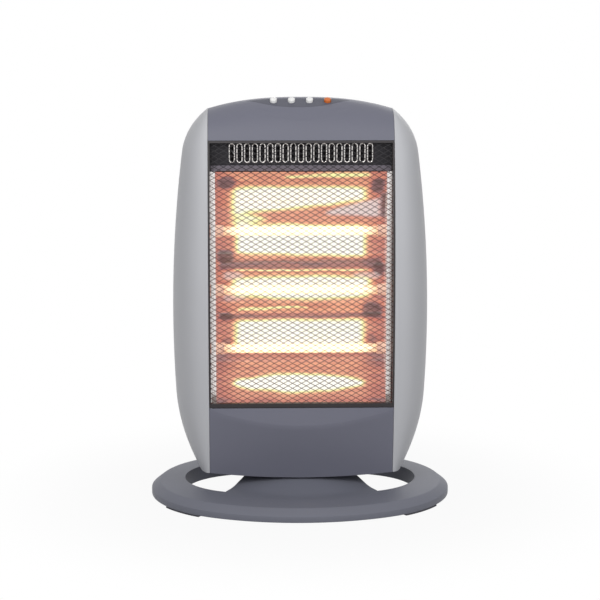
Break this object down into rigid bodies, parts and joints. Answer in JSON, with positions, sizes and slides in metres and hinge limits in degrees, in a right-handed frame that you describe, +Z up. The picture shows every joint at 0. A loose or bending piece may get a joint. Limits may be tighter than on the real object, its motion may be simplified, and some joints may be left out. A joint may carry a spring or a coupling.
{
  "type": "halogen heater",
  "caption": "Free-standing halogen heater: a body with quartz tubes behind a wire guard, swivelling on an open oval base, with push buttons on top.",
  "frame": {"origin": "on the floor, under the swivel axis, at the middle of the base", "axes": "+Z up, the guard faces -Y, +X to the right as the front is seen"},
  "size_m": [0.33, 0.27, 0.4409],
  "materials": {
    "dark_plastic": "moulded slate grey, fine texture",
    "silver_plastic": "moulded silver grey, satin",
    "black_plastic": "moulded black",
    "white_button": "moulded, glossy",
    "orange_button": "moulded, glossy",
    "nylon": "natural nylon",
    "rubber": "moulded grey rubber",
    "wire_insulation": "silicone rubber sleeve",
    "fastener_steel": "zinc plated",
    "zinc_steel": "galvanised sheet",
    "black_steel": "black enamel on steel wire and sheet",
    "polished_aluminium": "bright rolled",
    "quartz": "clear quartz",
    "heating_wire": "glowing tungsten",
    "ceramic": "unglazed steatite"
  },
  "bodies": {
    "base": {"base_ring": "dark_plastic", "rubber_feet": "rubber", "hub_cover": "black_plastic", "hub_cover_screws": "fastener_steel", "glide_ring": "nylon"},
    "heater": {"bottom_tray": "dark_plastic", "pivot_bolt": "fastener_steel", "pivot_washer": "fastener_steel", "pivot_nut": "fastener_steel", "swivel_motor": "zinc_steel", "motor_screws": "fastener_steel", "tilt_switch": "nylon", "chassis_leg_left": "zinc_steel", "chassis_leg_right": "zinc_steel", "chassis_screws": "fastener_steel", "lower_panel": "dark_plastic", "side_shell_left": "silver_plastic", "side_shell_right": "silver_plastic", "top_cover": "dark_plastic", "rear_cover": "dark_plastic", "rear_posts": "dark_plastic", "rear_screws": "fastener_steel", "handle_cup": "dark_plastic", "cord_gland": "black_plastic", "guard_frame": "black_steel", "guard_net": "black_steel", "vent_panel": "black_steel", "trough_reflector": "polished_aluminium", "reflector_apron": "polished_aluminium", "reflector_side_left": "polished_aluminium", "reflector_side_right": "polished_aluminium", "heat_shield": "black_steel", "tube_upper": "quartz", "tube_middle": "quartz", "tube_lower": "quartz", "coil_upper": "heating_wire", "coil_middle": "heating_wire", "coil_lower": "heating_wire", "ceramic_caps": "ceramic", "tube_bracket_left": "zinc_steel", "tube_bracket_right": "zinc_steel", "terminal_block": "nylon", "thermal_cutout": "black_plastic", "inner_wiring": "wire_insulation", "switch_bracket": "zinc_steel", "bracket_screws": "fastener_steel", "switch_bank": "black_plastic"},
    "crank": {"crank": "zinc_steel"},
    "button_low": {"button_low": "white_button"},
    "button_medium": {"button_medium": "white_button"},
    "button_high": {"button_high": "white_button"},
    "button_swivel": {"button_swivel": "orange_button"}
  },
  "joints": [
    {"name": "swivel", "type": "hinge", "parent": "base", "child": "heater", "pos_m": [0, 0, 0.018], "axis": [0, 0, 1], "range_deg": [-30, 30]},
    {"name": "crank_turn", "type": "hinge", "parent": "heater", "child": "crank", "pos_m": [0, -0.024, 0.025], "axis": [0, 0, 1], "range_deg": [-90, 90]},
    {"name": "press_low", "type": "slide", "parent": "heater", "child": "button_low", "axis": [0, 0.4384, -0.8988], "range_m": [0, 0.0025], "stiffness_N_per_m": 300, "springref_m": -0.002},
    {"name": "press_medium", "type": "slide", "parent": "heater", "child": "button_medium", "axis": [0, 0.4384, -0.8988], "range_m": [0, 0.0025], "stiffness_N_per_m": 300, "springref_m": -0.002},
    {"name": "press_high", "type": "slide", "parent": "heater", "child": "button_high", "axis": [0, 0.4384, -0.8988], "range_m": [0, 0.0025], "stiffness_N_per_m": 300, "springref_m": -0.002},
    {"name": "press_swivel", "type": "slide", "parent": "heater", "child": "button_swivel", "axis": [0, 0.4384, -0.8988], "range_m": [0, 0.0025], "stiffness_N_per_m": 300, "springref_m": -0.002}
  ],
  "couplings": [
    {"joint": "crank_turn", "follows": "swivel", "ratio": -3}
  ]
}
